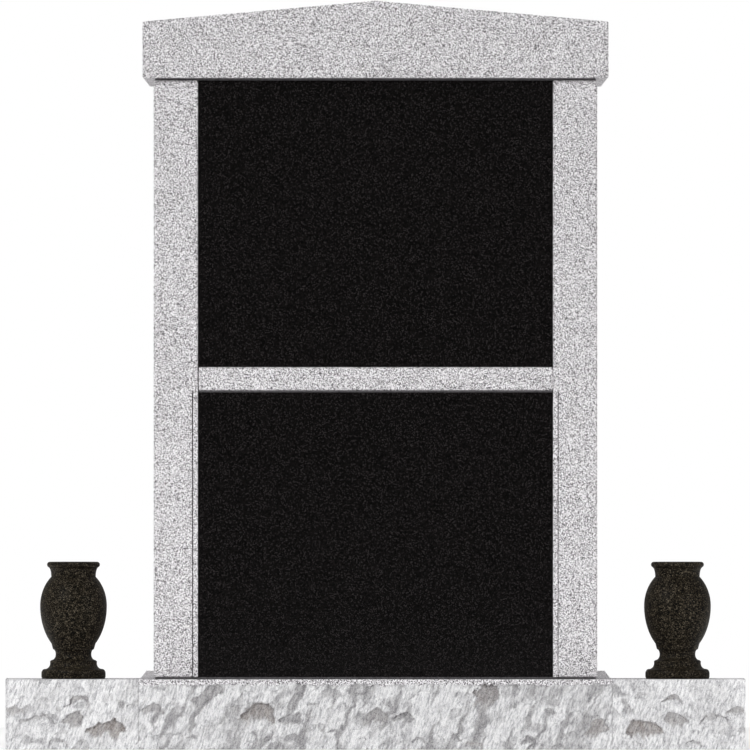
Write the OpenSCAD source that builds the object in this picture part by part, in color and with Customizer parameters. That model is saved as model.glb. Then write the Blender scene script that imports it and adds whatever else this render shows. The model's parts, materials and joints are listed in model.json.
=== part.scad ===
// Two-crypt granite mausoleum, the crypts stacked one above the other, with a low gabled cap,
// black granite crypt fronts and a rock-pitched base that carries a turned vase on each wing.
// Millimetres, +Z up, front towards -Y, origin in the middle of the underside.

/* [Crypt walls] */
// Width across the two side walls
body_w = 1154; // [1000:1:1450]
// Depth from the front of the side walls to the back
body_depth = 2440; // [1900:5:3000]
// Thickness of a side wall
wall_t = 115; // [95:1:140]
// Thickness of the back wall
back_t = 102; // [80:1:130]
// Clear height of the lower crypt
lower_h = 746; // [600:1:900]
// Clear height of the upper crypt
upper_h = 746; // [600:1:900]
// Width of the eased edge on a sawn slab
arris = 3; // [1:0.5:5]

/* [Crypt shelf] */
// Thickness of the slab between the crypts
shelf_t = 60; // [45:1:80]
// How far the shelf is let into each side wall
shelf_seat = 20; // [10:1:30]
// Open joint at the shelf's left end
shelf_joint_left = 2.1; // [0.4:0.1:3]

/* [Crypt fronts] */
// Thickness of a crypt front
front_t = 51; // [30:1:75]
// How far the crypt fronts stand back from the walls
front_setback = 4; // [1:0.5:12]
// Height of the sealed joint over the lower crypt front
front_seal_t = 5; // [3:0.5:8]
// Open joint at the side of a crypt front
front_gap = 0.6; // [0.3:0.1:0.9]

/* [Jamb strips] */
// Width of the strip beside the lower crypt front
strip_w = 12.6; // [8:0.1:20]
// Depth of the strip from front to back
strip_depth = 64; // [56:1:90]
// Joint outside the left strip
strip_joint_left = 2.4; // [0.5:0.1:3]
// Joint outside the right strip
strip_joint_right = 1.5; // [0.5:0.1:3]

/* [Joints] */
// Height of the setting bed under the walls and under the cap
bed_t = 6; // [4:0.5:10]
// How far a setting bed stands back from the face of the stone
bed_setback = 4; // [2:0.5:8]
// Joint between slabs that butt together
hairline = 0.4; // [0.2:0.1:0.8]

/* [Cap] */
// Overhang of the cap on each side of the walls
cap_overhang = 29; // [15:1:60]
// Height of the cap's vertical edge
eave_h = 147; // [100:1:200]
// Rise of the gable over the eaves
gable_rise = 54; // [30:1:120]

/* [Base] */
// Ledge of the base outside each side wall
base_ledge = 39; // [25:1:80]
// Step of the base in front of and behind the walls
base_step = 50; // [30:1:90]
// Height of the base
base_h = 182; // [140:1:260]
// Width of a wing, which carries a vase
wing_w = 348; // [250:1:450]
// Depth of a wing
wing_depth = 406; // [300:1:600]
// Height of the sawn margin along the top of the middle base
margin_h = 13; // [6:1:25]
// Depth of the pitched rock face
rock_depth = 24; // [10:1:28]
// Width of one pitched facet
facet_w = 46; // [36:1:80]
// Rows of facets in the height
facet_rows = 5; // [3:1:7]

/* [Vases] */
// How far a vase stands inwards of the middle of its wing
vase_inset = 3; // [0:1:40]
// Radius of the vase foot
foot_r = 83.7; // [70:0.1:100]
// Height of the vase foot's upright band
foot_band_h = 14; // [8:1:20]
// Height of the round over the band
foot_round_h = 11.5; // [8:0.5:16]
// Height of the cove over the foot
cove_h = 14.5; // [10:0.5:20]
// Radius of the step over the cove
step_r = 61; // [56:0.1:66]
// Height of the step over the cove
step_h = 6; // [4:1:12]
// Radius of the stem at its narrowest
stem_r = 46.4; // [40:0.1:50]
// Height of the hollowed stem
stem_h = 31; // [24:1:40]
// Radius of the collar under the bowl
collar_r = 53.4; // [51:0.1:60]
// Height of the collar
collar_h = 10; // [6:1:14]
// Radius of the bowl at its widest
belly_r = 87; // [75:0.1:105]
// Rise from the collar to the widest part of the bowl
belly_rise = 103; // [85:1:125]
// Rise from the widest part to the neck
shoulder_rise = 76; // [60:1:95]
// Radius of the neck
neck_r = 58; // [56:0.1:66]
// Radius of the rim
rim_r = 69; // [67:0.1:84]
// Rise of the flare under the rim
flare_h = 24; // [18:1:32]
// Height of the rolled rim
rim_h = 15; // [10:1:20]
// Radius of the drilled flower bore
bore_r = 44.5; // [36:0.5:54]
// Depth of the drilled flower bore
bore_depth = 203; // [150:1:225]

/* [Hidden] */

// widths and depths
clear_w = body_w - 2 * wall_t;
base_w = body_w + 2 * base_ledge;
base_depth = body_depth + 2 * base_step;
front_y = -body_depth / 2;
inner_front_y = front_y + front_setback + front_t;
inner_back_y = body_depth / 2 - back_t;
strip_seat = max(strip_depth, front_setback + front_t + 5);

// heights
bed_z = base_h;
wall_z = bed_z + bed_t;
shelf_z = wall_z + lower_h;
shelf_top_z = shelf_z + shelf_t;
wall_top_z = shelf_top_z + upper_h;
wall_h = wall_top_z - wall_z;
cap_z = wall_top_z + bed_t;
front_lower_h = lower_h - front_seal_t;

// vase heights
foot_h = foot_band_h + foot_round_h;
step_z = foot_h + cove_h;
stem_z = step_z + step_h;
collar_z = stem_z + stem_h;
bowl_z = collar_z + collar_h;
belly_z = bowl_z + belly_rise;
neck_z = belly_z + shoulder_rise;
flare_top_z = neck_z + flare_h;
vase_h = flare_top_z + rim_h;
vase_x = base_w / 2 + wing_w / 2 - vase_inset;
vase_y = -base_depth / 2 + wing_depth / 2;
curve_steps = 10;
$fn = 96;

grey = "#c4c3c6";
rock_grey = "#d2d1d0";
black = "#141311";
vase_black = "#2b2520";
compound = "#4c4a4b";

// ---- sawn slabs -----------------------------------------------------------------------

// A rectangle from the origin with its four corners cut by e.
module eased_rect(w, h, e) {
    polygon([[e, 0], [w - e, 0], [w, e], [w, h - e], [w - e, h], [e, h], [0, h - e], [0, e]]);
}

// A slab from the origin with every edge eased by e.
module slab(size, e = arris) {
    intersection() {
        linear_extrude(size.z) eased_rect(size.x, size.y, e);
        translate([0, size.y, 0]) rotate([90, 0, 0])
            linear_extrude(size.y) eased_rect(size.x, size.z, e);
        rotate([90, 0, 90]) linear_extrude(size.x) eased_rect(size.y, size.z, e);
    }
}

// ---- base -----------------------------------------------------------------------------

// A repeatable number from 0 to 1 for a pair of facet indices.
function chance(i, j) = let (v = sin(i * 127.1 + j * 311.7 + 17) * 437.585) v - floor(v);

// How far a facet corner lies behind the face, from 0 to 1: long slanted scars, then a
// rough share that differs from corner to corner.
function scar(i, j) =
    let (slant = 0.5 + 0.5 * sin(i * 49 + j * 71 + 40 * sin(i * 23)))
    0.62 * slant + 0.38 * chance(i, j);

// The plan corners of a block from its front left corner, counter-clockwise.
function plan(x0, x1, y0, y1) = [[x0, y0], [x1, y0], [x1, y1], [x0, y1]];

// A pitched block. rock says which sides are pitched, front, right, back and left, and
// sawn_to gives how far back along the left and right sides a wing's joint reaches.
module pitched_block(x0, x1, y0, y1, rock, margin, sawn_to, seed) {
    corners = plan(x0, x1, y0, y1);
    outward = [[0, -1], [1, 0], [0, 1], [-1, 0]];
    // [x, y, outward normal, share of the relief, index] around the block
    stations = [
        for (s = [0:3])
            let (
                a = corners[s],
                b = corners[(s + 1) % 4],
                span = norm(b - a),
                n = max(2, round(span / facet_w))
            )
            for (k = [0:n - 1])
                let (
                    p = a + (b - a) * k / n,
                    sawn = (s == 1 || s == 3) && p.y < y0 + sawn_to,
                    share = (rock[s] && k > 0 && !sawn) ? (s % 2 == 0 ? 1 : 0.5) : 0
                )
                [p, outward[s], share, s * 100 + k + seed]
    ];
    rows = facet_rows;
    rock_top = base_h - margin;
    levels = concat([for (j = [0:rows]) rock_top * j / rows], margin > 0 ? [base_h] : []);
    last = len(levels) - 1;
    count = len(stations);
    points = [
        for (j = [0:last])
            for (st = stations)
                let (
                    edge = j >= rows,
                    back = edge ? 0.45 : scar(st[3], j) * (j == 0 ? 0.6 : 1),
                    p = st[0] - st[1] * rock_depth * back * st[2]
                )
                [p.x, p.y, levels[j]]
    ];
    sides = [
        for (j = [0:last - 1])
            for (i = [0:count - 1])
                let (
                    a = j * count + i,
                    b = j * count + (i + 1) % count,
                    c = b + count,
                    d = a + count
                )
                each (chance(i, j + seed) > 0.5 ? [[a, c, b], [a, d, c]] : [[a, d, b], [b, d, c]])
    ];
    // the underside and the top are fans about a point in the middle
    middle = [(x0 + x1) / 2, (y0 + y1) / 2];
    hub = len(points);
    under = [for (i = [0:count - 1]) [hub, i, (i + 1) % count]];
    top = [for (i = [0:count - 1]) [hub + 1, last * count + (i + 1) % count, last * count + i]];
    polyhedron(
        concat(points, [[middle.x, middle.y, 0], [middle.x, middle.y, base_h]]),
        concat(sides, under, top)
    );
}

module base_center() {
    color(rock_grey)
        pitched_block(
            -base_w / 2, base_w / 2, -base_depth / 2, base_depth / 2,
            [true, true, true, true], margin_h, wing_depth + facet_w, 0
        );
}

module base_wing_left() {
    color(rock_grey)
        pitched_block(
            -base_w / 2 - wing_w, -base_w / 2 - hairline,
            -base_depth / 2, -base_depth / 2 + wing_depth,
            [true, false, true, true], 0, 0, 31
        );
}

module base_wing_right() {
    color(rock_grey)
        pitched_block(
            base_w / 2 + hairline, base_w / 2 + wing_w,
            -base_depth / 2, -base_depth / 2 + wing_depth,
            [true, true, true, false], 0, 0, 57
        );
}

// ---- setting beds and seal ------------------------------------------------------------

// A flat ring of setting compound, as wide as the stone that stands on it.
module bed_ring(z) {
    inset = bed_setback;
    translate([-body_w / 2 + inset, front_y + inset, z])
        difference() {
            cube([body_w - 2 * inset, body_depth - 2 * inset, bed_t]);
            translate([wall_t - inset, inner_front_y - front_y - inset, -1])
                cube([clear_w, inner_back_y - inner_front_y, bed_t + 2]);
        }
}

module base_bed() {
    color(compound) bed_ring(bed_z);
}

module cap_bed() {
    color(compound) bed_ring(wall_top_z);
}

module lower_front_seal() {
    seal_setback = front_setback + bed_setback / 2;
    color(compound)
        translate([-clear_w / 2 + front_gap, front_y + seal_setback, shelf_z - front_seal_t])
            cube([clear_w - 2 * front_gap, front_t - bed_setback / 2, front_seal_t]);
}

// ---- crypt walls ----------------------------------------------------------------------

// The left wall, from the front left corner of the body. Its inner face has a groove for
// the shelf behind the crypt fronts, and a rebate at the front for the jamb strip.
module side_wall(strip_joint) {
    difference() {
        translate([-body_w / 2, front_y, wall_z]) slab([wall_t, body_depth, wall_h]);
        translate([-clear_w / 2 - shelf_seat, inner_front_y, shelf_z])
            cube([shelf_seat + 1, inner_back_y - inner_front_y, shelf_t + hairline]);
        translate([-clear_w / 2 - strip_w - strip_joint, front_y - 1, wall_z - 1])
            cube([strip_w + strip_joint + 1, strip_seat + hairline + 1, lower_h + 1]);
    }
}

module wall_left() {
    color(grey) side_wall(strip_joint_left);
}

module wall_right() {
    color(grey) mirror([1, 0, 0]) side_wall(strip_joint_right);
}

module back_wall() {
    color(grey)
        translate([-clear_w / 2 + hairline, inner_back_y, wall_z])
            slab([clear_w - 2 * hairline, back_t, wall_h]);
}

// The strip shows at the front, so only its front edges are eased.
module jamb_strip() {
    edge = 1;
    translate([-clear_w / 2 - strip_w, front_y, wall_z])
        linear_extrude(lower_h)
            polygon([
                [edge, 0], [strip_w - edge, 0], [strip_w, edge],
                [strip_w, strip_seat], [0, strip_seat], [0, edge]
            ]);
}

module jamb_strip_left() {
    color(grey) jamb_strip();
}

module jamb_strip_right() {
    color(grey) mirror([1, 0, 0]) jamb_strip();
}

// ---- shelf and crypt fronts -----------------------------------------------------------

module crypt_shelf() {
    left_x = -clear_w / 2 + shelf_joint_left;
    right_x = clear_w / 2 - hairline;
    nose = inner_front_y - front_y + hairline;
    color(grey)
        union() {
            translate([left_x, front_y, shelf_z])
                slab([right_x - left_x, inner_back_y - front_y - hairline, shelf_t]);
            translate([-clear_w / 2 - shelf_seat + hairline, front_y + nose, shelf_z])
                cube([
                    clear_w + 2 * shelf_seat - 2 * hairline,
                    inner_back_y - front_y - nose - hairline, shelf_t
                ]);
        }
}

// A polished slab that closes one crypt.
module crypt_front(z, h) {
    translate([-clear_w / 2 + front_gap, front_y + front_setback, z])
        slab([clear_w - 2 * front_gap, front_t, h], 1.5);
}

module crypt_front_lower() {
    color(black) crypt_front(wall_z, front_lower_h);
}

module crypt_front_upper() {
    color(black) crypt_front(shelf_top_z + hairline, upper_h - hairline);
}

// ---- cap ------------------------------------------------------------------------------

// The gable's outline from the middle of its underside, with the eaves eased.
module gable(w, e) {
    half = w / 2;
    slope = gable_rise / half;
    polygon([
        [-half + e, 0], [half - e, 0], [half, e], [half, eave_h - e],
        [half - e, eave_h + slope * e], [0, eave_h + gable_rise],
        [-half + e, eave_h + slope * e], [-half, eave_h - e], [-half, e]
    ]);
}

// The gable runs from front to back, and its ends are eased along the sides and below.
module cap() {
    cap_w = body_w + 2 * cap_overhang;
    cap_depth = body_depth + 2 * cap_overhang;
    cap_h = eave_h + gable_rise;
    color(grey)
        translate([-cap_w / 2, -cap_depth / 2, cap_z])
            intersection() {
                translate([cap_w / 2, cap_depth, 0]) rotate([90, 0, 0])
                    linear_extrude(cap_depth) gable(cap_w, arris);
                linear_extrude(cap_h + 1) eased_rect(cap_w, cap_depth, arris);
                rotate([90, 0, 90]) linear_extrude(cap_w) eased_rect(cap_depth, cap_h + arris, arris);
            }
}

// ---- vases ----------------------------------------------------------------------------

// A run of outline points: f(t) for t from 0 to 1.
function run(f) = [for (k = [0:curve_steps]) f(k / curve_steps)];

// An ellipse quarter that bulges outwards: its widest radius is wide at z_wide, and it
// reaches narrow at z_narrow.
function bulge(wide, z_wide, narrow, z_narrow, t) =
    let (
        reach = sqrt(1 - pow(narrow / wide, 2)),
        z = z_wide + (z_narrow - z_wide) * t
    )
    [wide * sqrt(1 - pow(reach * t, 2)), z];

// A hollow from radius r0 at z0, where it runs level, to r1 at z1, where it runs upright.
function hollow(r0, z0, r1, z1, t) = [r0 + (r1 - r0) * sin(90 * t), z0 + (z1 - z0) * (1 - cos(90 * t))];

// A quarter round from [r0, z0], upright, to [r1, z1], level.
function quarter(r0, z0, r1, z1, t) = [r1 + (r0 - r1) * cos(90 * t), z0 + (z1 - z0) * sin(90 * t)];

function vase_outline() =
    let (
        foot_edge = 2.5,
        round_r = foot_r - 8.7,
        step_edge = 3,
        stem_mid_z = stem_z + stem_h * 0.58,
        lip = rim_h / 2
    )
    concat(
        [[0, 0], [foot_r - foot_edge, 0], [foot_r, 2 * foot_edge]],
        run(function (t) quarter(foot_r, foot_band_h, round_r, foot_h, t)),
        [for (k = [1:curve_steps]) hollow(round_r, foot_h, step_r, step_z, k / curve_steps)],
        [[step_r, stem_z]],
        run(function (t) hollow(step_r - step_edge - 1, stem_z + step_edge, stem_r, stem_mid_z, t)),
        run(function (t) hollow(collar_r, collar_z, stem_r, stem_mid_z, 1 - t)),
        [for (k = [1:2 * curve_steps])
            bulge(belly_r, belly_z, collar_r, bowl_z, 1 - k / (2 * curve_steps))],
        [for (k = [1:2 * curve_steps]) bulge(belly_r, belly_z, neck_r, neck_z, k / (2 * curve_steps))],
        run(function (t) hollow(rim_r - 4, flare_top_z, neck_r, neck_z, 1 - t)),
        [for (k = [0:curve_steps])
            [rim_r - lip + lip * cos(180 * k / curve_steps - 90),
                flare_top_z + lip + lip * sin(180 * k / curve_steps - 90)]],
        [[0, vase_h]]
    );

module vase() {
    color(vase_black)
        difference() {
            rotate_extrude() polygon(vase_outline());
            translate([0, 0, vase_h - bore_depth]) cylinder(h = bore_depth + 1, r = bore_r);
        }
}

module vase_left() {
    translate([-vase_x, vase_y, base_h]) vase();
}

module vase_right() {
    translate([vase_x, vase_y, base_h]) vase();
}

base_center();
base_wing_left();
base_wing_right();
base_bed();
wall_left();
wall_right();
back_wall();
crypt_shelf();
jamb_strip_left();
jamb_strip_right();
crypt_front_lower();
crypt_front_upper();
lower_front_seal();
cap_bed();
cap();
vase_left();
vase_right();
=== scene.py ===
# %% [markdown]
# # A two-crypt granite mausoleum
#
# This is a small family mausoleum: two crypts stacked one above the other, closed in front by
# polished black slabs, under a low gabled cap. It stands on a base whose sides are left as the
# mason's pitching tool broke them, and a turned vase stands on each wing of the base.
#
# The solid model of every stone is loaded first. It fixes where each piece is, so everything
# below is placed by asking it.

import json
import math
from collections import namedtuple

import bmesh
import bpy
import numpy as np
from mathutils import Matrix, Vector, noise


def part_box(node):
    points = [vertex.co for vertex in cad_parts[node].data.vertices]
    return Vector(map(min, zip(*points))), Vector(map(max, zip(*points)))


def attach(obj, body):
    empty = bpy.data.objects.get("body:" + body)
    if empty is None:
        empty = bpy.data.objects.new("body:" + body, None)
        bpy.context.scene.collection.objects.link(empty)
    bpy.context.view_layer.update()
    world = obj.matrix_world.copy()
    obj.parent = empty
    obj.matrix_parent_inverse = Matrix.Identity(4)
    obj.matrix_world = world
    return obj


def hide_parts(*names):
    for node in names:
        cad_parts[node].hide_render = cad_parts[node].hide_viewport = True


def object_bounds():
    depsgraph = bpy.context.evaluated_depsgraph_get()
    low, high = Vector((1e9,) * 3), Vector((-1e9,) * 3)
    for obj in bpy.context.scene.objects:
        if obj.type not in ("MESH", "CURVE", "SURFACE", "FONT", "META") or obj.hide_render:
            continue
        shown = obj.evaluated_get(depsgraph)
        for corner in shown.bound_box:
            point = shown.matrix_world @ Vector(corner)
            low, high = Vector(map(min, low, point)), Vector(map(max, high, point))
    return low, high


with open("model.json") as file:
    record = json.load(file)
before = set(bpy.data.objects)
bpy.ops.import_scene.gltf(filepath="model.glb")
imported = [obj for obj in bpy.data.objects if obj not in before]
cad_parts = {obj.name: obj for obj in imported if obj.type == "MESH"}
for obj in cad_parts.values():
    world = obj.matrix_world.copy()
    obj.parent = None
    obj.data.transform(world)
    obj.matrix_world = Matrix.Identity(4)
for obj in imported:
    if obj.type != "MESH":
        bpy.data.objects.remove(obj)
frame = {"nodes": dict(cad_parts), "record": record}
nodes = frame["nodes"]
CAD_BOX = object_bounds()
MM = 0.001

print("nodes:", sorted(nodes))
print("box:", [[round(v, 4) for v in corner] for corner in CAD_BOX])


# %% [markdown]
# ## Colour and nodes
#
# Stone colours are easiest to judge as the hex values of a paint chart, which are sRGB. Blender's
# shaders want linear light, so one function turns them. A second adds a node to a material with
# its settings, its plain values and its links, which keeps a long material readable.

# %% colour and node helpers
def linear(code):
    """The linear RGBA of an sRGB hex colour."""
    srgb = [int(code[i : i + 2], 16) / 255 for i in (1, 3, 5)]
    return [c / 12.92 if c <= 0.04045 else ((c + 0.055) / 1.055) ** 2.4 for c in srgb] + [1.0]


def add_node(tree, kind, inputs=None, stops=None, **settings):
    """Adds a node. An input is a plain value, or the output socket that feeds it."""
    node = tree.nodes.new(kind)
    for name, value in settings.items():
        setattr(node, name, value)
    for name, value in (inputs or {}).items():
        if isinstance(value, bpy.types.NodeSocket):
            tree.links.new(value, node.inputs[name])
        else:
            node.inputs[name].default_value = value
    if stops:
        ramp = node.color_ramp
        while len(ramp.elements) < len(stops):
            ramp.elements.new(1.0)
        for element, (place, code) in zip(ramp.elements, stops):
            element.position = place
            element.color = linear(code)
    return node


def new_material(name):
    """A material, its node tree, and its shader with nothing linked yet."""
    material = bpy.data.materials.new(name)
    material.use_nodes = True
    tree = material.node_tree
    return material, tree, tree.nodes["Principled BSDF"]


# %% [markdown]
# ## What granite looks like
#
# Granite is a mosaic of crystals that grew into each other: pale feldspar, glassy grey quartz and
# flecks of black mica. A picture of real stone could be wrapped round every slab, but it would
# repeat, and it would break at the edges. A Voronoi texture is the same kind of mosaic as the
# stone. Each of its cells has a random number, and a colour ramp turns the number into a mineral,
# so the widths of the ramp's bands are the shares of the minerals.
#
# A real fine-grained granite has crystals of about 1 to 3 mm. The texture is three-dimensional,
# so a crystal that meets an edge shows on both faces, as it does in a sawn slab.

# %% the crystal mosaic
def crystals(tree, grain_mm, minerals, seed=0.0):
    """The colour of each crystal, for crystals of grain_mm, from a ramp of minerals."""
    place = add_node(tree, "ShaderNodeTexCoord").outputs["Object"]
    shifted = add_node(tree, "ShaderNodeVectorMath", {0: place, 1: (seed, seed, seed)}, operation="ADD")
    cells = add_node(
        tree, "ShaderNodeTexVoronoi",
        {"Vector": shifted.outputs[0], "Scale": 1 / (grain_mm * MM), "Randomness": 1.0},
    )
    number = add_node(tree, "ShaderNodeSeparateColor", {"Color": cells.outputs["Color"]}).outputs["Red"]
    return add_node(tree, "ShaderNodeValToRGB", {"Fac": number}, stops=minerals).outputs["Color"]


# %% the surface of a granite
GRANITE_IOR = 1.54      # between those of feldspar and quartz


def set_surface(shader, roughness, specular):
    """How rough and how glossy the mason's last tool left the stone."""
    shader.inputs["Roughness"].default_value = roughness
    shader.inputs["Specular IOR Level"].default_value = specular
    shader.inputs["IOR"].default_value = GRANITE_IOR


# %% [markdown]
# ## Grey granite with a sawn and steeled finish
#
# The walls, the shelf, the strips and the cap are light grey granite, sawn and then smoothed with
# steel grit. That leaves a dull, even face with no reflections, where the crystals show as fine
# salt and pepper. The crystals here are 1.75 mm across, which is a true size for this stone. The
# grit's own hollows are too shallow to be worth modelling, so they are a bump.

# %% grey granite
GREY_MINERALS = [
    (0.00, "#141214"), (0.17, "#211f21"), (0.19, "#7a767a"), (0.34, "#949094"),
    (0.36, "#c9c5c9"), (0.54, "#dad6da"), (0.56, "#f8f4f8"), (1.00, "#ffffff"),
]
GREY_GRAIN_MM = 1.75
GRIT_HOLLOW = 1.5 * MM  # how wide the hollows left by the steel grit are
GRIT_DEPTH = 0.3 * MM   # and how deep


def grey_granite():
    material, tree, shader = new_material("grey granite, sawn and steeled")
    tree.links.new(crystals(tree, GREY_GRAIN_MM, GREY_MINERALS), shader.inputs["Base Color"])
    set_surface(shader, roughness=0.62, specular=0.35)
    place = add_node(tree, "ShaderNodeTexCoord").outputs["Object"]
    hollows = add_node(tree, "ShaderNodeTexNoise", {"Vector": place, "Scale": 1 / GRIT_HOLLOW, "Detail": 2.0})
    bump = add_node(
        tree, "ShaderNodeBump", {"Height": hollows.outputs["Fac"], "Strength": 0.15, "Distance": GRIT_DEPTH}
    )
    tree.links.new(bump.outputs["Normal"], shader.inputs["Normal"])
    return material


# %% [markdown]
# ## Black granite, polished
#
# The crypt fronts are a black granite, ground to a mirror polish, which deepens the stone almost to
# black. The faint speckle that is left is a scatter of slightly lighter crystals, a little larger
# than those of the grey stone. The low roughness gives the clear reflections of the polish. It has
# no bump, because any ripple would show at once in what the slab mirrors.

# %% black granite
BLACK_GRAIN_MM = 2.3
BLACK_MINERALS = [(0.0, "#020101"), (0.3, "#070606"), (0.6, "#100e0e"), (0.85, "#1f1c1c"), (1.0, "#312e2e")]


def black_granite():
    material, tree, shader = new_material("black granite, polished")
    tree.links.new(crystals(tree, BLACK_GRAIN_MM, BLACK_MINERALS), shader.inputs["Base Color"])
    set_surface(shader, roughness=0.12, specular=0.5)
    return material


# %% [markdown]
# ## Vase granite, turned
#
# The vases are turned from a brownish black granite with a livelier speckle than the fronts. The
# lathe leaves them with a soft honed sheen and no mirror, so the roughness is in the middle and the
# specular level is low. The mosaic is read from another place than the slabs', so that the
# crystals of the two stones don't lie in the same pattern.

# %% vase granite
VASE_GRAIN_MM = 2.2
OTHER_PLACE = 0.37
VASE_MINERALS = [(0.0, "#010100"), (0.28, "#060403"), (0.6, "#1e1a12"), (0.85, "#3c352a"), (1.0, "#665e50")]


def vase_granite():
    material, tree, shader = new_material("vase granite, turned and honed")
    speckle = crystals(tree, VASE_GRAIN_MM, VASE_MINERALS, seed=OTHER_PLACE)
    tree.links.new(speckle, shader.inputs["Base Color"])
    set_surface(shader, roughness=0.5, specular=0.06)
    return material


# %% [markdown]
# ## Setting compound
#
# The slabs are bedded on a dark grey compound, which stays a little rubbery and has a dull skin.
# One flat colour would look like a painted line. A mottle as wide as the bed is thick looks like
# something that was pressed out of a joint and wiped.

# %% setting compound
MOTTLE = 6 * MM


def setting_compound():
    material, tree, shader = new_material("setting compound, dark grey")
    place = add_node(tree, "ShaderNodeTexCoord").outputs["Object"]
    mottle = add_node(tree, "ShaderNodeTexNoise", {"Vector": place, "Scale": 1 / MOTTLE, "Detail": 3.0})
    tone = add_node(
        tree, "ShaderNodeValToRGB", {"Fac": mottle.outputs["Fac"]},
        stops=[(0.3, "#3c3a3c"), (0.7, "#5e5c5e")],
    )
    tree.links.new(tone.outputs["Color"], shader.inputs["Base Color"])
    shader.inputs["Roughness"].default_value = 0.8
    return material


# %% [markdown]
# ## Pitched granite
#
# The sides of the base are pitched: the mason strikes the edge with a blunt chisel and the stone
# spalls away in shallow scoops. A broken face is paler than a sawn one, because every crystal is
# bruised, and the bruises run in short streaks the way the chisel leaned. The hollows under the
# scars' lips are painted darker: partly painted shade of the hollow, partly the darker, freshly
# parted stone, and some hold brownish dust. Leaning patches and streaks of painted shade stand in
# for the shade of broad facets turned away from the light.
#
# Where all that lies depends on the shape, so it can't come from a texture alone. It could be
# painted by hand, but then it wouldn't follow a change of shape. So each block carries an attribute
# named "stone" that the modelling below writes at every point. It has three values: how broken the
# surface is, how much painted shade it has, with the middle block's own slightly darker tone in
# the same value, and how warm its dust is.

# %% pitched granite
CHISEL_LEAN = math.radians(17)
STREAK_SIZE = (5 * MM, 5 * MM, 21 * MM)     # one bruise: along the face, into it, and up
STREAK_DEPTH = 1.5 * MM
UNBRUISED = 0.19        # how much of the crystals' own colour shows through the bruising
BRUISED = [(0.32, "#98989c"), (0.46, "#d8d8da"), (0.59, "#ffffff")]
# Painted shade darkens the bruised stone towards these: grey for shade alone, brownish with dust.
GREY_PAINTED_SHADE = linear("#6c696b")
WARM_DUST_AND_SHADE = linear("#796c62")


def pitched_granite():
    material, tree, shader = new_material("grey granite, rock-pitched")
    sawn = crystals(tree, GREY_GRAIN_MM, GREY_MINERALS)
    place = add_node(tree, "ShaderNodeTexCoord").outputs["Object"]
    stone = add_node(tree, "ShaderNodeAttribute", attribute_name="stone").outputs["Color"]
    values = add_node(tree, "ShaderNodeSeparateColor", {"Color": stone}).outputs
    chisel = add_node(
        tree, "ShaderNodeMapping",
        {"Vector": place, "Rotation": (0, CHISEL_LEAN, 0), "Scale": STREAK_SIZE}, vector_type="TEXTURE",
    )
    bruise = add_node(
        tree, "ShaderNodeTexNoise",
        {"Vector": chisel.outputs[0], "Scale": 1.0, "Detail": 4.0, "Roughness": 0.7},
    ).outputs["Fac"]
    pale = add_node(tree, "ShaderNodeValToRGB", {"Fac": bruise}, stops=BRUISED).outputs["Color"]
    # Painted shade, with brown dust in some of it, darkens the pale bruised stone here.
    shade_and_dust = add_node(
        tree, "ShaderNodeMix", {0: values["Blue"], 6: GREY_PAINTED_SHADE, 7: WARM_DUST_AND_SHADE}, data_type="RGBA"
    ).outputs[2]
    shaded_and_stained = add_node(
        tree, "ShaderNodeMix", {0: values["Green"], 6: pale, 7: shade_and_dust}, data_type="RGBA", blend_type="MULTIPLY"
    ).outputs[2]
    broken = add_node(tree, "ShaderNodeMix", {0: UNBRUISED, 6: shaded_and_stained, 7: sawn}, data_type="RGBA").outputs[2]
    colour = add_node(tree, "ShaderNodeMix", {0: values["Red"], 6: sawn, 7: broken}, data_type="RGBA")
    tree.links.new(colour.outputs[2], shader.inputs["Base Color"])
    set_surface(shader, roughness=0.75, specular=0.3)
    bump = add_node(tree, "ShaderNodeBump", {"Height": bruise, "Strength": 0.5, "Distance": STREAK_DEPTH})
    tree.links.new(bump.outputs["Normal"], shader.inputs["Normal"])
    return material


# %% [markdown]
# ## From finishes to pieces
#
# The record of the object names a finish for every solid, so the materials are kept under those
# names. The solids that stay as they are take theirs at once. The strips, the black fronts, the
# vases and the beds are already as fine as the real ones: flat faces, eased arrises and turned
# curves. The sawn slabs and the broken blocks get finer pieces below, made through new_piece.

# %% one material for each finish
FINISHES = {
    "grey_granite": grey_granite(),
    "black_granite": black_granite(),
    "vase_granite": vase_granite(),
    "setting_compound": setting_compound(),
    "pitched_granite": pitched_granite(),
}
print("materials:", [m.name for m in FINISHES.values()])


# %% a piece and its finish
def finish_piece(piece, slot):
    """Gives a piece the material of one of the record's finishes."""
    piece.data.materials.clear()
    piece.data.materials.append(FINISHES[slot])


def new_piece(name, bm, slot):
    """Turns a finished bmesh into an object with its finish, riding on the monument."""
    mesh = bpy.data.meshes.new(name)
    bm.to_mesh(mesh)
    bm.free()
    piece = bpy.data.objects.new(name, mesh)
    bpy.context.scene.collection.objects.link(piece)
    finish_piece(piece, slot)
    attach(piece, "root")
    corners = [Vector(corner) for corner in piece.bound_box]
    print(name, len(mesh.polygons), "faces, from", corners[0], "to", corners[6])
    return piece


# %% the solids' own finishes
for part in frame["record"]["subparts"]:
    finish_piece(nodes[part["node"]], part["material_slot"])
    print(part["node"], "is", part["material_slot"])


# %% [markdown]
# ## Sawn slabs with eased arrises
#
# An arris is the sharp edge where two sawn faces meet. It is eased with a rubbing stone so that it
# doesn't chip, but carriage and setting always knock a few crystals out of it. The solid model has
# the eased arris as a clean narrow chamfer, and on the polished fronts it stays that clean.
#
# The rough slabs take a copy of their solid, merged and with its flat faces whole again. A bevel
# would give every edge one even width, and a displacement would dent the sawn faces too. So each
# chamfer is cut into short lengths, and the cuts' ends slide a little way into the flat faces. The
# flat faces stay flat and the chamfer widens and narrows. Last, every point is kept inside the
# solid's own box, because a slab can't be larger than the stone it was cut from.

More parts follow.
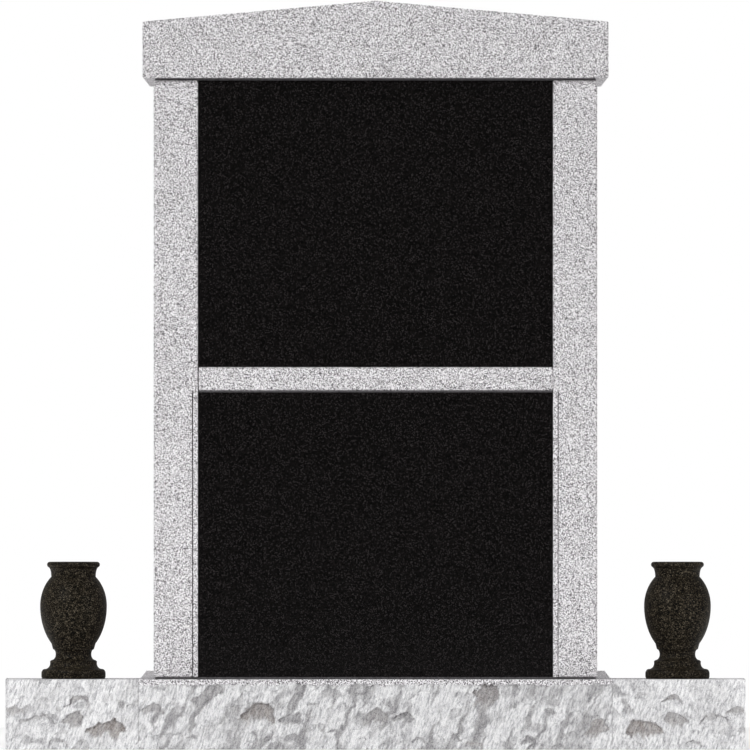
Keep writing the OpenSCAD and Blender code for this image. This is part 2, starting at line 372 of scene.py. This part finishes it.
# %% cutting the chamfers into lengths
ARRIS_WIDTH = 3 * MM * math.sqrt(2)
WIDEST_CHAMFER = 1.2 * ARRIS_WIDTH      # any wider face is one of the slab's flat ones
CHIP_STEP = 9 * MM


def flat_width(face):
    """About how wide a long narrow face is."""
    return 2 * face.calc_area() / face.calc_perimeter()


def cut_chamfers(bm):
    """Cuts every chamfer into short lengths, and gives the points that this adds."""
    before = set(bm.verts)
    for chamfer in [face for face in bm.faces if flat_width(face) < WIDEST_CHAMFER]:
        rails = sorted(chamfer.edges, key=lambda edge: edge.calc_length())[-2:]
        cuts = int(rails[0].calc_length() / CHIP_STEP)
        if cuts > 1:
            bmesh.ops.subdivide_edges(bm, edges=rails, cuts=cuts)
    return set(bm.verts) - before


# %% chips along the arrises
WANDER = 0.5 * MM       # how far an edge of the chamfer wanders
WANDERS_A_METRE = 60
DEEPEST_CHIP = 5 * MM
CHIPS_A_METRE = 34
CHIP_ABOVE = 0.42       # a chip is where the noise is higher than this, which it seldom is
CHIP_GAIN = 2.2


def chip_size(spot):
    """How far an edge of a chamfer moves at this spot."""
    wander = WANDER * (0.5 + 0.5 * noise.noise(spot * WANDERS_A_METRE))
    knock = max(0.0, noise.noise(spot * CHIPS_A_METRE) - CHIP_ABOVE) * CHIP_GAIN
    return wander + knock * DEEPEST_CHIP


def way_into_flat(v, sizes):
    """The way from a point on a chamfer's edge into the flat face beside it, or None at a corner."""
    flat = max(v.link_faces, key=sizes.get)
    chamfer = min(v.link_faces, key=sizes.get)
    rails = [edge for edge in v.link_edges if flat in edge.link_faces]
    if len(rails) != 2:
        return None
    run = (rails[0].other_vert(v).co - rails[1].other_vert(v).co).normalized()
    inward = run.cross(flat.normal)
    if inward.dot(v.co - chamfer.calc_center_median()) < 0:
        inward.negate()
    return inward


def chip_arrises(bm):
    """Lets the edges of every chamfer wander and chip, and gives how many places moved."""
    added = cut_chamfers(bm)
    sizes = {face: face.calc_area() for face in bm.faces}
    ways = [(v, way_into_flat(v, sizes)) for v in added]
    moves = [(v, way * chip_size(v.co)) for v, way in ways if way is not None]
    for v, move in moves:
        v.co += move
    return len(moves)


# %% the sawn slabs
SAWN_SLABS = ("wall_left", "wall_right", "back_wall", "crypt_shelf", "cap")


def sawn_slab(name, node):
    """A copy of the node's solid, whole again and chipped along its arrises."""
    low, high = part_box(node)
    bm = bmesh.new()
    bm.from_mesh(nodes[node].data)
    bmesh.ops.remove_doubles(bm, verts=bm.verts, dist=0.001 * MM)
    bmesh.ops.dissolve_limit(bm, angle_limit=math.radians(1), verts=bm.verts, edges=bm.edges)
    moved = chip_arrises(bm)
    for v in bm.verts:
        v.co = [min(max(at, least), most) for at, least, most in zip(v.co, low, high)]
    piece = new_piece(name, bm, "grey_granite")
    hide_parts(node)
    print(name, moved, "places along its arrises moved")


for node in SAWN_SLABS:
    sawn_slab("sawn_" + node, node)


# %% [markdown]
# ## The pitched blocks
#
# A stone is pitched with a broad blunt chisel, held on a line near the edge and struck hard. The
# face spalls off in slanting flakes. What is left is a few broad facets, and across them scars:
# each scar has an arched lip, where the surface drops back, and rises again to nothing below it.
# Under a light from above, the lip is a thin dark arch with a pale slope under it.
#
# The surface could be sculpted, or pushed about by a displacement modifier with a noise texture,
# but neither gives arched lips with a slope under each. So its depth is worked out at every point
# from a few rules, with numpy doing all the points of a block at once. A place is always three
# things: how far along the way round the block it is, from the front's left end, how high up it is,
# and how long the whole way round is.
#
# First comes a noise that rolls from cell to cell. It closes on itself after a whole number of
# cells, because it runs all the way round a block and has to meet its own start. Every noise adds a
# number of its own to the block's seed, so that no two are alike.

# %% a noise that closes on itself
def cell_value(i, j, seed):
    """A number from 0 to 1 for each cell i, j, always the same one for the same seed.

    The fixed numbers only have to be uneven enough that neighbours come out unlike.
    """
    return np.modf(np.abs(np.sin(i * 127.1 + j * 311.7 + seed * 74.7) * 43758.5453))[0]


def rolling(place, width, height, seed, lean=0.0):
    """Noise from 0 to 1 at each place, for lumps of this width and height that lean."""
    along, up, girth = place
    around = round(girth / width)
    u, v = (along - lean * up) / girth * around, up / height
    i, j = np.floor(u), np.floor(v)
    a, b = u - i, v - j
    a, b = a * a * (3 - 2 * a), b * b * (3 - 2 * b)
    near, far = (
        cell_value((i + k) % around, j, seed) * (1 - b) + cell_value((i + k) % around, j + 1, seed) * b
        for k in (0, 1)
    )
    return near * (1 - a) + far * a


# %% a ragged noise, and the peaks of a noise
def ragged_noise(place, width, height, seed, lean=0.0):
    """Noise from 0 to 1 in four sizes, each half as large and half as strong as the last."""
    sizes = [rolling(place, width / 2**k, height / 2**k, seed + k, lean) / 2**k for k in range(4)]
    return sum(sizes) / sum(1 / 2**k for k in range(4))


def peaks(value, gain, start, most=1.0):
    """Only the high places of a noise: its gain times the value, less the start, from 0 to most."""
    return np.clip(gain * value - start, 0, most)


# %% [markdown]
# ## Facets and scars
#
# The facets are shallow bowls, one to a cell, and the stone is as deep as the deepest bowl that
# reaches it, so neighbours meet in a ridge without any step.
#
# A scar is measured from its crown, the top of its arch. How far a point lies below the arch, as
# a share of the scar's length, says how deep the stone lies there and how dark it is painted. That
# darkness is partly painted shade of the hollow under the lip and partly freshly parted stone,
# which is darker than the bruised stone round it. Its foot fades out in streaks.

# %% facets
FACET_W = 74 * MM
FACET_H = 60 * MM
BOWL_FLOOR = 0.5        # how much shallower one bowl may be than another
BOWL_CURVE = 0.8        # how steeply a bowl rises from its floor
BOWL_UPRIGHT = 0.8      # how steeply it rises up and down, as a share of that
BOWL_TILT = 0.7         # how far a bowl may tip up or down


def facets(place, lean, seed):
    """How far back the facets lie at each place, from 0 to about 1."""
    along, up, girth = place
    around = round(girth / FACET_W)
    u, v = (along - lean * up) / girth * around, up / FACET_H
    height = np.full(u.shape, np.inf)
    for i in (-1, 0, 1):
        for j in (-1, 0, 1):
            ci, cj = np.floor(u) + i, np.floor(v) + j
            x, y, floor_height, tilt = (cell_value(ci % around, cj, seed + k) for k in range(4))
            du, dv = u - ci - x, v - cj - y
            bowl = BOWL_FLOOR * floor_height + BOWL_CURVE * (du * du + BOWL_UPRIGHT * dv * dv)
            height = np.minimum(height, bowl + BOWL_TILT * (tilt - 0.5) * dv)
    return 1.0 - np.clip(height, 0.0, 1.0)


# %% one scar
LIP = 3.5 * MM          # how far below its arch a scar reaches its full depth
SCAR_DEPTH = 0.24       # that depth, as a share of the scar's half width
ARCH = 0.7              # how far the arch drops at its ends, as a share of the half width
FOOT_FADE = 5.0         # how quickly the shade fades at the scar's foot
FOOT_STREAKS = 1.8      # how deep the streaks eat into it there
HAIR = 0.1 * MM         # keeps the scar's length from being nothing at its ends


def scar(across, drop, half_width, length, streak):
    """The depth and the painted shade of one scar, both from 0 to 1, for places measured from its crown."""
    middle = np.clip(1 - (across / half_width) ** 2, 0.0, 1.0)
    below = drop - ARCH * half_width * (1 - middle)
    share = below / (length * np.sqrt(middle) + HAIR)
    inside = (below > 0) & (share < 1)
    depth = np.where(inside, np.clip(below / LIP, 0, 1) * (1 - share), 0.0)
    foot = peaks(1 - share, FOOT_FADE, FOOT_STREAKS * streak)
    shade = np.where(inside, np.clip(below / LIP, 0, 1) * foot, 0.0)
    return depth, shade


# %% scattered scars
SCATTER_W = 50 * MM
SCATTER_H = 42 * MM
HALF_WIDTHS = (9, 17)   # the narrowest scar's half width, and how much more the widest has, in mm
LENGTHS = (10, 30)      # the same for their lengths
STREWN_PEAKS = (1.3, 0.65)  # so only about every second scar is shaded at all
DARKEST_STREWN = 0.5


def scattered_scars(place, lean, streak, seed):
    """Scars strewn over the whole face, a size and a place for each by its cell."""
    along, up, girth = place
    around = round(girth / SCATTER_W)
    u, v = (along - lean * up) / girth * around, up / SCATTER_H
    depth, shade = np.zeros(u.shape), np.zeros(u.shape)
    for i in (-1, 0, 1):
        for j in (-1, 0, 1, 2):
            ci, cj = np.floor(u) + i, np.floor(v) + j
            x, y, wide, long, dark = (cell_value(ci % around, cj, seed + 10 + k) for k in range(5))
            half_width = (HALF_WIDTHS[0] + HALF_WIDTHS[1] * wide) * MM
            length = (LENGTHS[0] + LENGTHS[1] * long) * MM
            across, drop = (u - ci - x) * SCATTER_W, (cj + y - v) * SCATTER_H
            one, one_shade = scar(across, drop, half_width, length, streak)
            depth = np.maximum(depth, one * SCAR_DEPTH * half_width)
            shade = np.maximum(shade, one_shade * peaks(dark, *STREWN_PEAKS, DARKEST_STREWN))
    return depth, shade


# %% [markdown]
# ## The blows that show
#
# Some scars stand out on this base, so they are listed one by one. Each is a blow of the chisel: where
# its crown is, from the middle of the block and from the ground, how wide and long it is, how it
# leans, how dark the stone under its lip is, and how much brown dust lies in it.

# %% the struck scars, their sizes in millimetres
# dark: how dark the stone under the lip is painted, painted shade of the hollow and darker fresh stone
# together
Blow = namedtuple("Blow", "x crown half_width length lean dark warm")

CENTER_BLOWS = [
    Blow(-568, 122, 30, 34, 0.2, 0.7, 0.3),
    Blow(-512, 42, 17, 12, 0.2, 0.7, 0.0),
    Blow(-476, 42, 18, 12, 0.2, 0.7, 0.0),
    Blow(-405, 172, 24, 95, 1.1, 0.7, 0.1),
    Blow(-372, 114, 20, 42, 0.4, 0.6, 0.1),
    Blow(-300, 126, 52, 70, 0.2, 0.8, 0.9),
    Blow(-188, 172, 18, 100, 0.5, 0.75, 0.0),
    Blow(-218, 98, 26, 44, 0.3, 0.8, 0.0),
    Blow(-215, 46, 24, 24, 0.2, 0.7, 0.0),
    Blow(-163, 126, 16, 16, 0.2, 0.6, 0.0),
    Blow(-100, 56, 16, 22, 0.3, 0.7, 0.0),
    Blow(-35, 98, 18, 28, 0.3, 0.6, 0.0),
    Blow(8, 108, 32, 62, 0.3, 0.7, 0.3),
    Blow(70, 100, 26, 40, -0.2, 0.8, 0.0),
    Blow(104, 36, 28, 16, -0.3, 0.6, 0.0),
    Blow(200, 44, 24, 26, -0.5, 0.8, 0.0),
    Blow(304, 176, 30, 100, 0.4, 0.85, 0.5),
    Blow(253, 22, 22, 20, 0.0, 0.6, 0.6),
    Blow(395, 34, 20, 26, 0.0, 0.8, 0.0),
    Blow(462, 110, 17, 30, 0.3, 0.7, 0.0),
    Blow(549, 88, 17, 46, 0.3, 0.6, 0.1),
    Blow(584, 78, 28, 60, 0.4, 0.7, 0.8),
]
WING_BLOWS = [
    Blow(20, 144, 34, 24, 0.0, 0.7, 0.4),
    Blow(20, 100, 32, 50, 0.5, 0.7, 0.5),
    Blow(108, 86, 46, 70, 0.4, 0.8, 1.0),
    Blow(142, 134, 9, 40, 0.1, 0.6, 0.2),
    Blow(-152, 116, 26, 28, 0.0, 0.6, 0.5),
    Blow(-90, 94, 44, 18, 0.0, 0.5, 0.3),
    Blow(-44, 28, 26, 14, -0.6, 0.7, 0.0),
]


# %% the blows' depth and shade
def struck_scars(place, front_width, blows, streak):
    """The depth, in metres, the painted shade and the warmth of the listed blows."""
    depth, shade, warm = (np.zeros(streak.shape) for _ in range(3))
    for blow in blows:
        drop = blow.crown * MM - place[1]
        across = place[0] - front_width / 2 - blow.x * MM + blow.lean * drop
        one, one_shade = scar(across, drop, blow.half_width * MM, blow.length * MM, streak)
        depth = np.maximum(depth, one * SCAR_DEPTH * blow.half_width * MM)
        shade = np.maximum(shade, one_shade * blow.dark)
        warm = np.maximum(warm, one_shade * blow.warm)
    return depth, shade, warm


# %% [markdown]
# ## The whole broken face
#
# A smooth arch looks drawn, not broken. So before anything is worked out, the places themselves
# are bent by a ragged noise, and each arch, facet and patch comes out torn. Then the depths of the
# facets, the scars, a slow swell, the chisel's streaks and a fine grit add up.
#
# Painted shade comes on top: darker ragged patches and leaning streaks, standing in for the shade
# of broad facets that turn away from the light.

# %% bent places
BEND_ALONG = 36 * MM    # how far an outline is bent along the face, from one side to the other
BEND_UP = 26 * MM       # and how far up and down
RAGS_ALONG = (30 * MM, 26 * MM)
RAGS_UP = (22 * MM, 20 * MM)


def bend(place, seed):
    """The places, bent so that whatever is worked out from them has a ragged outline."""
    along, up, girth = place
    sideways = ragged_noise(place, *RAGS_ALONG, seed + 50) - 0.5
    upward = ragged_noise(place, *RAGS_UP, seed + 60) - 0.5
    return along + BEND_ALONG * sideways, up + BEND_UP * upward, girth


# %% painted shade of the facets
# Painted shade: ragged patches and leaning streaks darken the colour, standing in for the shade of broad
# facets turned away from the light.
SHADE_PATCH_SIZE = (50 * MM, 74 * MM)
SHADE_PATCH_PEAKS = (4.4, 2.3) # the gain and the start of its peaks
SHADE_PATCH_LEAN = 2.2         # how much more the patches of painted shade lean than the chisel's streaks
SHADE_PATCH_BETWEEN = 0.4      # how much of it is left between the streaks
SHADE_PATCH_ON_STREAK = 0.6    # and how much the streaks add
SHADE_STREAK_SIZE = (17 * MM, 80 * MM)
SHADE_STREAK_PEAKS = (4.2, 2.2)
DARKEST_SHADE_STREAK = 0.8


def painted_facet_shade(place, streak, lean, seed):
    """Painted shade, from 0 to 1, in ragged patches and leaning streaks, for facets turned from the light."""
    patches = ragged_noise(place, *SHADE_PATCH_SIZE, seed + 35, SHADE_PATCH_LEAN * lean)
    streaks = ragged_noise(place, *SHADE_STREAK_SIZE, seed + 45, lean)
    patch_shade = peaks(patches, *SHADE_PATCH_PEAKS) * (SHADE_PATCH_BETWEEN + SHADE_PATCH_ON_STREAK * streak)
    return np.maximum(patch_shade, peaks(streaks, *SHADE_STREAK_PEAKS, DARKEST_SHADE_STREAK))


# %% [markdown]
# ## What sets one block apart
#
# The three blocks are broken by the same rules, so each is described by a few values, and every
# function below takes them together.

# %% the description of a block
Block = namedtuple(
    "Block", "name node broken steps blows mottle seed lean margin sawn_front tone",
    defaults=(0.4, 0.0, 0.0, 0.0),
)
# name, node  what the piece is called, and the solid that it stands for
# broken      which sides are broken: front, right, back, left
# steps       how far apart the columns of points stand on each of those sides
# blows       the scars set by hand on its front
# mottle      how strongly the painted shade of patches and streaks shows, from 0 to 1
# seed        the number that makes its noises its own
# lean        how far the chisel's streaks lean, in metres along for a metre up
# margin      how high the sawn band along the top is
# sawn_front  how much of each flank is sawn, from the front
# tone        the least darkening anywhere on it: the block's own, slightly darker tone


# %% the whole broken face
FACET_DEPTH = 11 * MM
SWELL = 4 * MM
SWELL_SIZE = (130 * MM, 90 * MM)
CHISEL_STREAK = 1.6 * MM
CHISEL_SIZE = (5 * MM, 30 * MM)
GRIT = 1.0 * MM
GRIT_SIZE = (4 * MM, 6 * MM)
SHALLOWEST = 3 * MM     # about the least depth, taken off so that the high points reach the solid
LEAST_SHADE = 0.72      # how much of a scar's shade is left between the streaks
STREAK_SHADE = 0.45     # and how much the streaks add


def broken_face(place, front_width, block):
    """How far back the stone lies at each place, in metres, with its painted shade and its warmth."""
    lean, seed = block.lean, block.seed
    streak = rolling(place, *CHISEL_SIZE, seed + 30, lean)
    bent = bend(place, seed)
    strewn, strewn_shade = scattered_scars(bent, lean, streak, seed)
    struck, struck_shade, warm = struck_scars(bent, front_width, block.blows, streak)
    shade = np.maximum(strewn_shade, struck_shade) * (LEAST_SHADE + STREAK_SHADE * streak)
    # The painted shade of the facets goes over that of the scars.
    shade = np.maximum(shade, block.mottle * painted_facet_shade(bent, streak, lean, seed))
    depth = np.maximum(strewn, struck) + FACET_DEPTH * facets(bent, lean, seed)
    depth += SWELL * rolling(place, *SWELL_SIZE, seed + 33, lean)
    depth += CHISEL_STREAK * streak + GRIT * rolling(place, *GRIT_SIZE, seed + 34, lean)
    return depth - SHALLOWEST, np.maximum(shade, block.tone), warm


# %% [markdown]
# ## From a sheet to a block
#
# Each block starts as a fine grid, rolled round the block's plan like a paper sleeve. One column of
# the grid stands at each place round the plan. A column knows which way is out, where it reads the
# broken face, and how far it may be pushed back:
#
# - on a broken side, straight back, but less and less towards a corner that it shares with another
#   broken side, so that the two never cross;
# - on a sawn side, not at all, except that it closes up behind a broken side's end.
#
# A cube with a displacement modifier would be less work, but its points would fold over each other
# at the corners, and the sawn sides would be dented too.

# %% a column of the sleeve
CORNER_CHIP = 2 * MM    # how far back the corner of two broken sides may go
EASE = 0.6              # how fast that limit grows with the distance from the corner
CLOSE_UP = 40 * MM      # how far along a sawn side the points close up behind a broken one
FAR = 1.0               # a limit that never matters
FLANKS = (1, 3)         # the sides that run from front to back
OUTWARD = [Vector((0, -1)), Vector((1, 0)), Vector((0, 1)), Vector((-1, 0))]

Column = namedtuple("Column", "spot out read weight limit follows")
# spot     where it stands on the plan
# out      which way is out
# read     where along the way round it reads the broken face
# weight   how much of that it takes, from 0 on a sawn side to 1
# limit    how far it may be pushed back
# follows  the side whose shape it follows


# %% the columns round a plan
def plan_columns(low, high, block):
    """The columns round a block's plan, and how long the way round is."""
    corners = [Vector(c) for c in ((low.x, low.y), (high.x, low.y), (high.x, high.y), (low.x, high.y))]
    change = low.y + block.sawn_front

    def is_broken(side, y):
        return block.broken[side] and not (side in FLANKS and y < change)

    columns = []
    gone = 0.0
    for side, (start, end) in enumerate(zip(corners, corners[1:] + corners[:1])):
        length = (end - start).length
        count = round(length / block.steps[side])
        before, after = (side - 1) % 4, (side + 1) % 4
        for k in range(count):
            spot = start.lerp(end, k / count)
            from_start, to_end = length * k / count, length * (count - k) / count
            out, read, weight, limit = OUTWARD[side], gone + from_start, 1.0, FAR
            follows = side
            if is_broken(side, spot.y):
                for near, other, corner in ((from_start, before, start), (to_end, after, end)):
                    if is_broken(other, corner.y):
                        limit = min(limit, CORNER_CHIP + EASE * near)
                if side in FLANKS and block.sawn_front:
                    limit = min(limit, EASE * (spot.y - change))
                if k == 0 and is_broken(before, start.y):
                    out = OUTWARD[side] + OUTWARD[before]
            elif is_broken(before, start.y) and from_start < CLOSE_UP:
                out, read, weight = OUTWARD[before], gone, 1 - from_start / CLOSE_UP
                follows = before
            elif is_broken(after, end.y) and to_end < CLOSE_UP:
                out, read, weight = OUTWARD[after], gone + length, 1 - to_end / CLOSE_UP
                follows = after
            else:
                weight = 0.0
            columns.append(Column(spot, out, read, weight, limit, follows))
        gone += length
    return columns, gone


# %% how far back each point of a block lies
FRONT_RELIEF = 24 * MM  # how deep the front and the back are broken at most
SIDE_RELIEF = 12 * MM   # and how deep the sides are
MARGIN_BACK = 0.25      # how far back the sawn margin lies, as a share of the relief
MARGIN_WAVE = 9 * MM    # how wide one wave of the margin's lower edge is
MARGIN_LEAST = 0.8      # its least height there, as a share of the named one
MARGIN_SWING = 0.6      # and how much is added at most


def block_relief(block, low, high, columns, girth, rows):
    """For every point: its height, how far back it lies, and its three values for the finish."""
    tall = high.z - low.z
    up, read = np.meshgrid(np.linspace(0, tall, rows + 1), [c.read for c in columns])
    depth, shade, warm = broken_face((read, up, girth), high.x - low.x, block)
    wave = rolling((read, up * 0, girth), MARGIN_WAVE, MARGIN_WAVE, block.seed + 40)
    in_margin = up > tall - block.margin * (MARGIN_LEAST + MARGIN_SWING * wave)
    relief = np.array([[SIDE_RELIEF if c.follows in FLANKS else FRONT_RELIEF] for c in columns])
    back = np.where(in_margin, MARGIN_BACK * relief, depth * relief / FRONT_RELIEF)
    furthest = np.minimum([[c.limit] for c in columns], relief)
    back = np.clip(back, 0, furthest) * [[c.weight] for c in columns]
    on_rock = np.array([[c.weight > 0] for c in columns]) & ~in_margin
    return up, back, np.stack([on_rock, shade, warm, np.ones(up.shape)], axis=-1)


# %% the sleeve and its two ends
def sleeve(columns, rows, foot, up, back, values):
    """A grid rolled round the columns and pushed back, with its seam and its two ends closed.

    The grid starts one wide and one high, so a point's place in it gives its column and its row.
    """
    bm = bmesh.new()
    bmesh.ops.create_grid(bm, x_segments=len(columns), y_segments=rows, size=0.5)
    stone = bm.verts.layers.float_color.new("stone")
    seam = []
    for v in bm.verts:
        i = round((v.co.x + 0.5) * len(columns))
        j = round((v.co.y + 0.5) * rows)
        if i in (0, len(columns)):
            i = 0
            seam.append(v)
        spot = columns[i].spot - columns[i].out * back[i, j]
        v.co = (spot.x, spot.y, foot + up[i, j])
        v[stone] = values[i, j]
    bmesh.ops.remove_doubles(bm, verts=seam, dist=0.01 * MM)
    bmesh.ops.holes_fill(bm, edges=[e for e in bm.edges if e.is_boundary], sides=0)
    bmesh.ops.triangulate(bm, faces=[f for f in bm.faces if len(f.verts) > 4])
    bmesh.ops.recalc_face_normals(bm, faces=bm.faces)
    if bm.calc_volume(signed=True) < 0:
        bmesh.ops.reverse_faces(bm, faces=bm.faces)
    return bm


# %% one pitched block
FRONT_STEP = 3 * MM
BACK_STEP = 6 * MM


def pitched_block(block):
    """The block's piece, in place of its solid."""
    low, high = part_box(block.node)
    columns, girth = plan_columns(low, high, block)
    rows = round((high.z - low.z) / FRONT_STEP)
    up, back, values = block_relief(block, low, high, columns, girth, rows)
    piece = new_piece(block.name, sleeve(columns, rows, low.z, up, back, values), "pitched_granite")
    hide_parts(block.node)
    print(block.name, len(columns), "columns of", rows, "steps, broken", round(back.max() / MM), "mm deep")


# %% the three blocks of the base
wing_low, wing_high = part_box("base_wing_left")
BEHIND_WING = 46 * MM   # how far the middle block's sawn flanks run on behind the wings
ALL_FINE = (FRONT_STEP,) * 4
FINE_IN_FRONT = (FRONT_STEP, BACK_STEP, BACK_STEP, BACK_STEP)

pitched_block(Block(
    "pitched_base_center", "base_center", (True, True, True, True), FINE_IN_FRONT, CENTER_BLOWS,
    mottle=0.9, seed=3, margin=13 * MM, sawn_front=wing_high.y - wing_low.y + BEHIND_WING, tone=0.05,
))
pitched_block(Block(
    "pitched_wing_left", "base_wing_left", (True, False, True, True), ALL_FINE, WING_BLOWS,
    mottle=0.3, seed=8,
))
pitched_block(Block(
    "pitched_wing_right", "base_wing_right", (True, True, True, False), ALL_FINE,
    [blow._replace(x=-blow.x, lean=-blow.lean) for blow in WING_BLOWS],
    mottle=0.3, seed=13, lean=-0.4,
))


# %% [markdown]
# ## Floor
#
# The floor is plain and pale. It lies a hair below the stones, so that the two don't flicker
# through each other, and it glows a little, so that it stays as light as what is around it.

# %% floor
FLOOR_RADIUS = 4.2
FLOOR_DROP = 0.5 * MM
FLOOR_GLOW = 0.13

floor_mesh = bpy.data.meshes.new("floor")
bm = bmesh.new()
bmesh.ops.create_circle(bm, cap_ends=True, segments=96, radius=FLOOR_RADIUS)
bmesh.ops.translate(bm, verts=bm.verts, vec=(0, 0, -FLOOR_DROP))
bm.to_mesh(floor_mesh)
bm.free()
floor = bpy.data.objects.new("floor", floor_mesh)
bpy.context.scene.collection.objects.link(floor)
pale, tree, shader = new_material("pale matt floor")
shader.inputs["Base Color"].default_value = linear("#ffffff")
shader.inputs["Emission Color"].default_value = linear("#ffffff")
shader.inputs["Emission Strength"].default_value = FLOOR_GLOW
shader.inputs["Roughness"].default_value = 0.9
floor_mesh.materials.append(pale)
print("floor:", FLOOR_RADIUS * 2, "m across")


# %% [markdown]
# ## Light
#
# The stone is lit as for a catalogue: a large soft light high on the left, a weaker one on the
# right and one above, with a pale surround. One strong lamp would show more relief, but it would
# also throw hard shadows that aren't wanted. A polished black slab mirrors whatever stands
# opposite it, so the surround is dark straight behind the camera.

# %% lamps
FRONT_MIDDLE = (0, -1.2, 0.9)
MIDDLE = (0, 0, 0.9)


def area_light(name, place, aim, size, watts):
    """A square soft light at a place, turned to its aim."""
    lamp = bpy.data.lights.new(name, "AREA")
    lamp.shape = "SQUARE"
    lamp.size = size
    lamp.energy = watts
    holder = bpy.data.objects.new(name, lamp)
    holder.location = place
    holder.rotation_euler = (Vector(aim) - Vector(place)).to_track_quat("-Z", "Y").to_euler()
    bpy.context.scene.collection.objects.link(holder)
    print(name, "lamp:", watts, "W")


area_light("key", (-6.5, -9.0, 5.5), FRONT_MIDDLE, size=3.0, watts=542)
area_light("fill", (7.0, -8.5, 2.5), FRONT_MIDDLE, size=4.0, watts=260)
area_light("top", (0, 2.0, 8.0), MIDDLE, size=4.0, watts=270)


# %% surround
SURROUND = 0.5          # how bright it is all round
BEHIND_CAMERA = 0.04    # and straight behind the camera

world = bpy.data.worlds.new("surround")
bpy.context.scene.world = world
world.use_nodes = True
tree = world.node_tree
tree.nodes.clear()
way = add_node(tree, "ShaderNodeTexCoord").outputs["Generated"]
forward = add_node(tree, "ShaderNodeSeparateXYZ", {0: way}).outputs["Y"]
glow = add_node(
    tree, "ShaderNodeMapRange",
    {"Value": forward, "From Min": -0.95, "From Max": -0.6, "To Min": BEHIND_CAMERA, "To Max": SURROUND},
)
around = add_node(tree, "ShaderNodeBackground", {"Strength": glow.outputs[0]})
plain = add_node(tree, "ShaderNodeBackground", {"Color": (1, 1, 1, 1), "Strength": 1.0})
ray = add_node(tree, "ShaderNodeLightPath")
both = add_node(
    tree, "ShaderNodeMixShader", {0: ray.outputs["Is Camera Ray"], 1: around.outputs[0], 2: plain.outputs[0]}
)
add_node(tree, "ShaderNodeOutputWorld", {"Surface": both.outputs[0]})
print("surround:", SURROUND, "and", BEHIND_CAMERA, "behind the camera")


# %% [markdown]
# ## Camera
#
# A front elevation has hardly any perspective. An orthographic camera would have none at all, but
# a very long lens from far off looks almost the same and still behaves like a camera when it is
# carried round to another side. It stands at half the monument's height, so what little
# perspective is left shows as much under the cap as on the base.

# %% camera
VIEW_WIDTH = 1.950      # how much of the front's plane the picture takes in
DISTANCE = 85.0         # from that plane
EYE_HEIGHT = 0.9737     # about half the monument's height
EYE_X = -0.0012         # a hair to the left
front_y = CAD_BOX[0][1]
cam = bpy.data.cameras.new("camera")
cam.sensor_width = 36
cam.lens = cam.sensor_width * DISTANCE / VIEW_WIDTH
cam.clip_end = 200
camera = bpy.data.objects.new("camera", cam)
camera.location = (EYE_X, front_y - DISTANCE, EYE_HEIGHT)
camera.rotation_euler = (math.radians(90), 0, 0)
bpy.context.scene.collection.objects.link(camera)
bpy.context.scene.camera = camera
bpy.context.scene.view_settings.view_transform = "Standard"
print("camera:", round(cam.lens), "mm lens,", DISTANCE, "m away")
